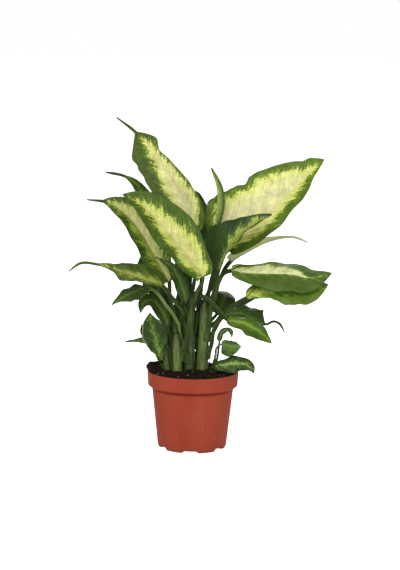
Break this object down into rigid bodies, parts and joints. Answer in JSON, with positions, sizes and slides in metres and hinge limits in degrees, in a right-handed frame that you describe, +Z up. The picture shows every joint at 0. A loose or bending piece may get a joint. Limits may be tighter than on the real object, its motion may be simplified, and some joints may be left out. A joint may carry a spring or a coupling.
{
  "type": "potted dieffenbachia",
  "caption": "Leafy potted houseplant: a clump of fleshy canes with broad arching variegated leaves, standing in a round collared nursery pot filled with soil.",
  "frame": {"origin": "middle of the pot's flat underside, where it stands on the floor", "axes": "+Z up along the pot's axis; -Y is the front, the side the plant is shown from; +X is to the right seen from the front"},
  "size_m": [0.3388, 0.1643, 0.4337],
  "materials": {
    "terracotta_plastic": "satin",
    "potting_soil": "matte",
    "cane_green": "satin",
    "leaf_green": "satin"
  },
  "bodies": {
    "root": {"pot": "terracotta_plastic", "soil": "potting_soil", "cane_a": "cane_green", "cane_b": "cane_green", "cane_c": "cane_green", "cane_d": "cane_green", "cane_e": "cane_green", "cane_f": "cane_green", "cane_g": "cane_green", "leaf_crown_left": "leaf_green", "leaf_crown_back": "leaf_green", "leaf_crown_right": "leaf_green", "leaf_crown_dark": "leaf_green", "leaf_spear": "leaf_green", "leaf_front_big": "leaf_green", "leaf_left_high": "leaf_green", "leaf_left_peak": "leaf_green", "leaf_right_upper": "leaf_green", "leaf_right_lower": "leaf_green", "leaf_right_high": "leaf_green", "leaf_left_long": "leaf_green", "leaf_left_drooping": "leaf_green", "leaf_centre_dark": "leaf_green", "leaf_left_inner": "leaf_green", "leaf_left_low": "leaf_green", "leaf_left_shaded": "leaf_green", "leaf_left_tip": "leaf_green", "leaf_right_round": "leaf_green", "leaf_right_shaded": "leaf_green", "leaf_right_bright": "leaf_green", "leaf_sucker_curled": "leaf_green", "leaf_sucker_heart": "leaf_green", "leaf_sucker_low": "leaf_green", "leaf_back_high_left": "leaf_green", "leaf_back_high_right": "leaf_green", "leaf_back_left": "leaf_green", "leaf_back_right": "leaf_green", "leaf_back_tall_left": "leaf_green", "leaf_back_mid_left": "leaf_green", "leaf_back_tall_right": "leaf_green", "leaf_back_drooping": "leaf_green", "leaf_back_low": "leaf_green"}
  },
  "joints": []
}
